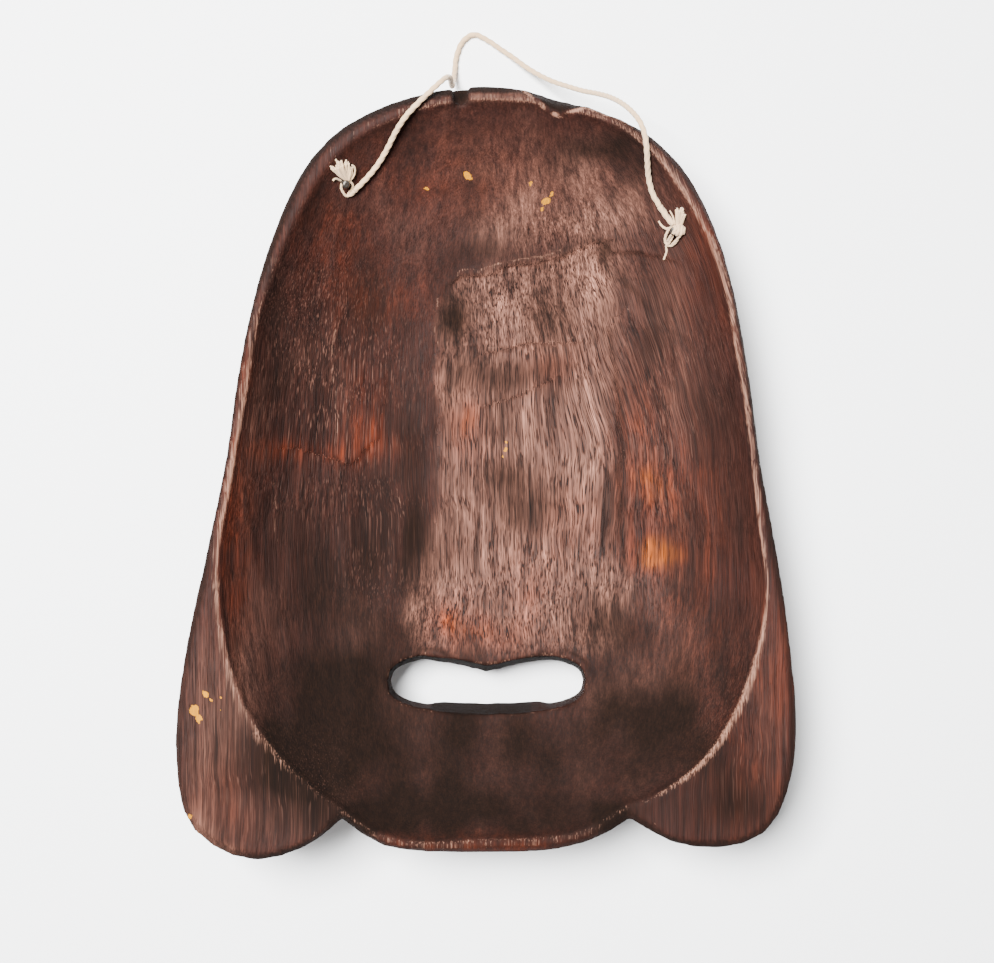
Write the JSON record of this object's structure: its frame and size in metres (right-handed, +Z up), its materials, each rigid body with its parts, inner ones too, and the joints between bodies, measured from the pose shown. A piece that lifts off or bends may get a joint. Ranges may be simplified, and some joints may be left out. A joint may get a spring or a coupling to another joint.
{
  "type": "wooden mask",
  "caption": "Carved wooden mask with long ears and a mouth slot, lying face down with its hollow back up and its hanging cord over the rim.",
  "frame": {"origin": "under the middle of the mask's box, on the surface that the forehead and nose tip rest on", "axes": "+Z up out of the hollow back, +Y from chin to crown, +X to the right as seen looking down into the hollow"},
  "size_m": [0.2179, 0.3067, 0.0635],
  "materials": {
    "carved_wood": "open-pored dark red-brown stained hardwood, hand carved, rubbed to a satin gloss, worn pale on the arrises, with flecks of gold leaf",
    "nail_steel": "dull grey drawn steel wire nail",
    "cotton_cord": "natural unbleached twisted cotton, frayed at the tied ends"
  },
  "bodies": {
    "root": {"mask_body": "carved_wood", "nail_left": "nail_steel", "nail_right": "nail_steel", "knot_left": "cotton_cord", "knot_right": "cotton_cord", "hanging_cord": "cotton_cord"}
  },
  "joints": []
}
